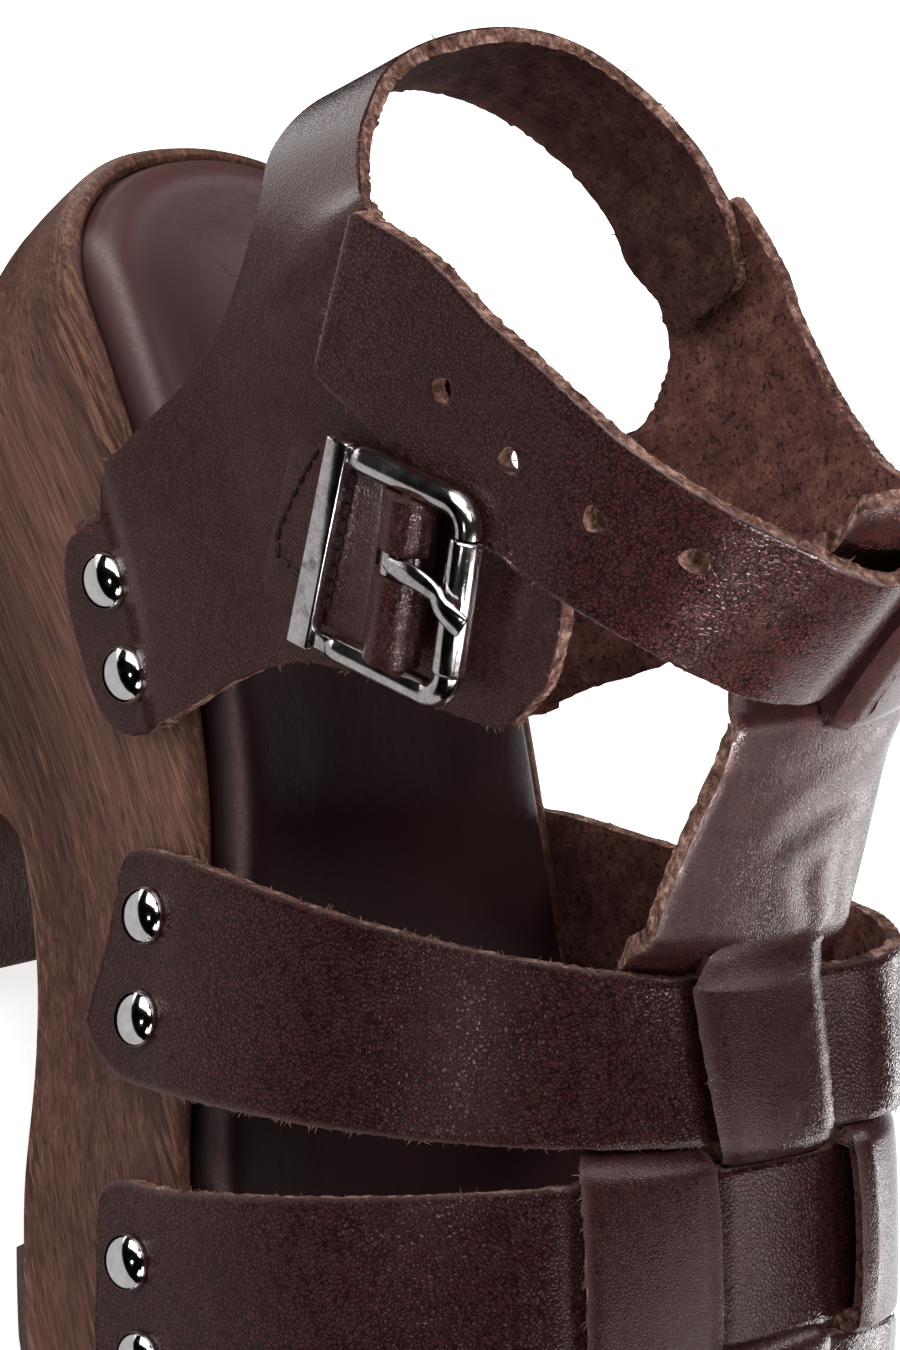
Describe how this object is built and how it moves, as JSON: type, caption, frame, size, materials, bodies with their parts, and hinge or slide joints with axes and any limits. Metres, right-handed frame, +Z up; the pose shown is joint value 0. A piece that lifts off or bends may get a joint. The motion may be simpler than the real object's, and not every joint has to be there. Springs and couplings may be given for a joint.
{
  "type": "block heel sandal",
  "caption": "Right clog sandal with a one-piece stained wooden sole and block heel, woven dark brown leather straps, a sling back and an open ankle strap with a roller buckle.",
  "frame": {"origin": "on the floor, at the middle of the bounding box seen from above", "axes": "+X towards the toe, +Y towards the inner side of the foot, +Z up"},
  "size_m": [0.2382, 0.0918, 0.1784],
  "materials": {
    "wood": "stained, satin, worn on the edges",
    "insole": "smooth, semi-gloss",
    "rubber": "matte",
    "leather": "fine grain, semi-gloss, raw edges",
    "metal": "antiqued, polished high spots",
    "stud": "polished dark nickel"
  },
  "bodies": {
    "shoe": {"wood_sole": "wood", "insole": "insole", "outsole_forefoot": "rubber", "heel_top_lift": "rubber", "upper": "leather", "buckle_tab": "leather", "buckle_frame": "metal", "stud_quarter_lateral_a": "stud", "stud_quarter_lateral_b": "stud", "stud_quarter_medial_a": "stud", "stud_quarter_medial_b": "stud", "stud_strap1_lateral_a": "stud", "stud_strap1_lateral_b": "stud", "stud_strap1_medial_a": "stud", "stud_strap1_medial_b": "stud", "stud_strap2_lateral_a": "stud", "stud_strap2_lateral_b": "stud", "stud_strap2_medial_a": "stud", "stud_strap2_medial_b": "stud", "stud_strap3_lateral_a": "stud", "stud_strap3_lateral_b": "stud", "stud_strap3_medial_a": "stud", "stud_strap3_medial_b": "stud"},
    "prong": {"buckle_prong": "metal"},
    "roller": {"buckle_roller": "metal"}
  },
  "joints": [
    {"name": "prong_hinge", "type": "hinge", "parent": "shoe", "child": "prong", "pos_m": [-0.0469, -0.0384, 0.1172], "axis": [0.7727, 0, -0.6347], "range_deg": [0, 120]},
    {"name": "roller_turn", "type": "hinge", "parent": "shoe", "child": "roller", "pos_m": [-0.04055, -0.0384, 0.12493], "axis": [0.7727, 0, -0.6347], "continuous": true}
  ]
}
